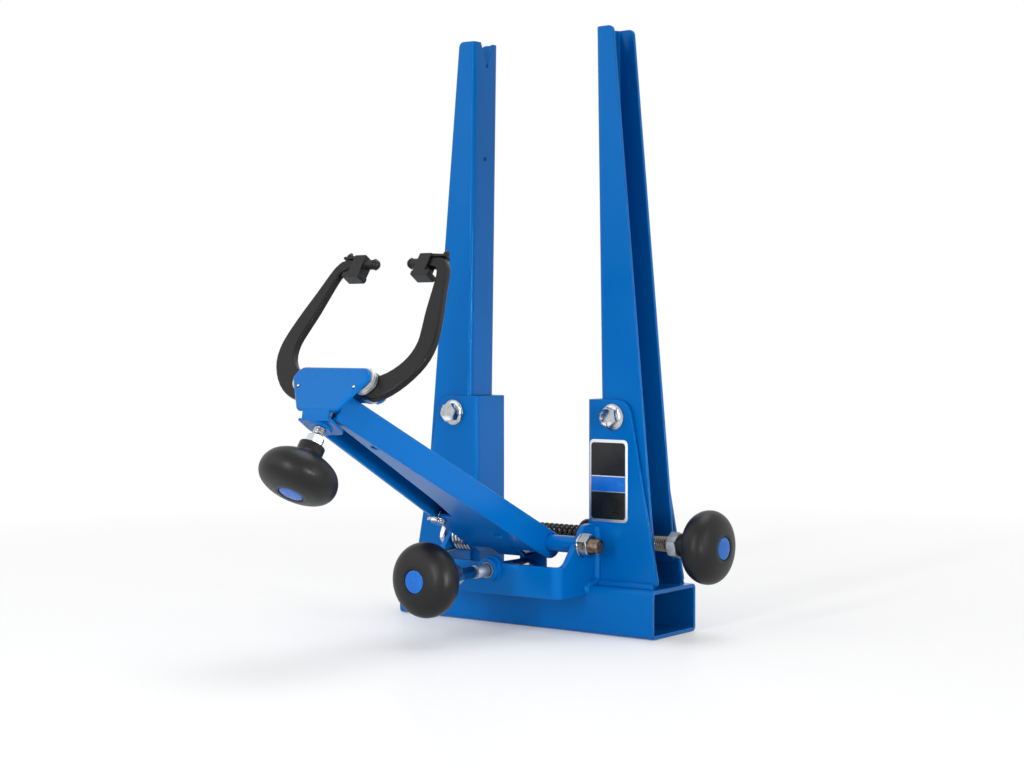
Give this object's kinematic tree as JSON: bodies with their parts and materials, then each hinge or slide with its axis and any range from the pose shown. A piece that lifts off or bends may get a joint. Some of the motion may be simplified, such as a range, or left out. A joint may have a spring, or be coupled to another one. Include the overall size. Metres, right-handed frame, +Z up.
{
  "type": "bicycle wheel truing stand",
  "caption": "Bicycle wheel truing stand: notched uprights spread by a two-handed screw, and a screw-lifted arm with jaws that close on the rim.",
  "frame": {"origin": "centre of the base tube's bottom face", "axes": "+Z up, +X along the base tube towards the spread knob, -Y to the front, where the lift arm points"},
  "size_m": [0.2993, 0.3479, 0.4801],
  "materials": {
    "blue_paint": "satin powder coat",
    "zinc_plate": "bright zinc plate",
    "bare_steel": "turned, oiled",
    "black_steel": "black oxide",
    "black_plastic": "moulded, satin",
    "blue_cap": "gloss",
    "label_face": "gloss film"
  },
  "bodies": {
    "stand": {"base_tube": "blue_paint", "bracket_right": "blue_paint", "bracket_left": "blue_paint", "pivot_yoke": "blue_paint", "pivot_rod": "blue_paint", "rod_nut_right": "zinc_plate", "rod_nut_left": "zinc_plate", "hinge_bolt_right_front": "zinc_plate", "hinge_bolt_right_rear": "zinc_plate", "hinge_bolt_left_front": "zinc_plate", "hinge_bolt_left_rear": "zinc_plate", "label_plate": "label_face", "lift_bush": "zinc_plate", "spread_spring": "black_steel", "return_spring": "zinc_plate"},
    "upright_right_body": {"upright_right": "blue_paint", "weld_nut_right_front": "blue_paint", "weld_nut_right_rear": "blue_paint"},
    "upright_left_body": {"upright_left": "blue_paint", "weld_nut_left_front": "blue_paint", "weld_nut_left_rear": "blue_paint"},
    "spread_nut_right_body": {"spread_nut_right": "black_steel", "spread_collar_right": "black_steel"},
    "spread_nut_left_body": {"spread_nut_left": "black_steel", "spread_collar_left": "black_steel"},
    "spread_screw_body": {"spread_screw": "bare_steel", "spread_jam_nut": "zinc_plate", "spread_end_nut": "zinc_plate", "spread_knob": "black_plastic", "spread_knob_cap": "blue_cap"},
    "lift_screw_body": {"lift_screw": "zinc_plate"},
    "lift_knob_body": {"lift_knob": "black_plastic", "lift_knob_cap": "blue_cap", "lift_jam_nut": "zinc_plate"},
    "lift_arm_body": {"lift_arm": "blue_paint", "spring_anchor": "zinc_plate", "head_front_plate": "blue_paint", "head_rear_plate": "blue_paint", "head_rivet_right": "zinc_plate", "head_rivet_left": "zinc_plate", "jaw_stud_right": "zinc_plate", "jaw_stud_left": "zinc_plate", "jaw_nut_right": "zinc_plate", "jaw_nut_left": "zinc_plate", "jaw_spacer_right_front": "zinc_plate", "jaw_spacer_right_rear": "zinc_plate", "jaw_spacer_left_front": "zinc_plate", "jaw_spacer_left_rear": "zinc_plate"},
    "jaw_right_body": {"jaw_right": "black_steel", "jaw_tip_right": "black_plastic", "tip_screw_right": "black_plastic"},
    "jaw_left_body": {"jaw_left": "black_steel", "jaw_tip_left": "black_plastic", "tip_screw_left": "black_plastic"},
    "jaw_screw_body": {"jaw_screw": "zinc_plate"},
    "jaw_knob_body": {"jaw_knob": "black_plastic", "jaw_knob_cap": "blue_cap", "jaw_jam_nut": "zinc_plate"}
  },
  "joints": [
    {"name": "spread_knob_turn", "type": "hinge", "parent": "stand", "child": "spread_screw_body", "pos_m": [0, 0.0033, 0.071], "axis": [-1, 0, 0], "range_deg": [-1285, 1446]},
    {"name": "spread_nut_right_slide", "type": "slide", "parent": "stand", "child": "spread_nut_right_body", "axis": [1, 0, 0], "range_m": [-0.007, 0.00785], "deforming": ["spread_spring"]},
    {"name": "spread_nut_left_slide", "type": "slide", "parent": "stand", "child": "spread_nut_left_body", "axis": [-1, 0, 0], "range_m": [-0.007, 0.00785]},
    {"name": "upright_right_hinge", "type": "hinge", "parent": "stand", "child": "upright_right_body", "pos_m": [0.0805, 0.0033, 0.1708], "axis": [0, 1, 0], "range_deg": [-4.5, 4]},
    {"name": "upright_left_hinge", "type": "hinge", "parent": "stand", "child": "upright_left_body", "pos_m": [-0.0805, 0.0033, 0.1708], "axis": [0, -1, 0], "range_deg": [-4.5, 4]},
    {"name": "lift_screw_slide", "type": "slide", "parent": "stand", "child": "lift_screw_body", "axis": [0, 1, 0], "range_m": [-0.0076, 0.0049]},
    {"name": "lift_knob_turn", "type": "hinge", "parent": "lift_screw_body", "child": "lift_knob_body", "pos_m": [0, -0.143, 0.0498], "axis": [0, 1, 0], "range_deg": [-1823, 1173]},
    {"name": "lift_arm_hinge", "type": "hinge", "parent": "stand", "child": "lift_arm_body", "pos_m": [0, -0.038, 0.0705], "axis": [1, 0, 0], "range_deg": [-21, 13.5], "deforming": ["return_spring"]},
    {"name": "jaw_screw_slide", "type": "slide", "parent": "lift_arm_body", "child": "jaw_screw_body", "axis": [0, 0.5592, 0.829], "range_m": [-0.0025, 0.00277]},
    {"name": "jaw_knob_turn", "type": "hinge", "parent": "jaw_screw_body", "child": "jaw_knob_body", "pos_m": [0, -0.2848, 0.14283], "axis": [0, 0.5592, 0.829], "range_deg": [-596, 662]},
    {"name": "jaw_right_hinge", "type": "hinge", "parent": "lift_arm_body", "child": "jaw_right_body", "pos_m": [0.0283, -0.24644, 0.1997], "axis": [0, 0.829, -0.5592], "range_deg": [-7.2, 8]},
    {"name": "jaw_left_hinge", "type": "hinge", "parent": "lift_arm_body", "child": "jaw_left_body", "pos_m": [-0.0283, -0.24644, 0.1997], "axis": [0, -0.829, 0.5592], "range_deg": [-7.2, 8]}
  ],
  "couplings": [
    {"joint": "spread_knob_turn", "follows": "upright_right_hinge", "ratio": -320.91},
    {"joint": "spread_nut_right_slide", "follows": "upright_right_hinge", "m_per_rad": -0.0998},
    {"joint": "spread_nut_left_slide", "follows": "upright_right_hinge", "m_per_rad": -0.0998},
    {"joint": "upright_left_hinge", "follows": "upright_right_hinge", "ratio": 1},
    {"joint": "lift_screw_slide", "follows": "lift_arm_hinge", "m_per_rad": 0.0207},
    {"joint": "lift_knob_turn", "follows": "lift_arm_hinge", "ratio": 86.708},
    {"joint": "jaw_screw_slide", "follows": "jaw_right_hinge", "m_per_rad": 0.0197},
    {"joint": "jaw_knob_turn", "follows": "jaw_right_hinge", "ratio": 82.519},
    {"joint": "jaw_left_hinge", "follows": "jaw_right_hinge", "ratio": 1}
  ]
}
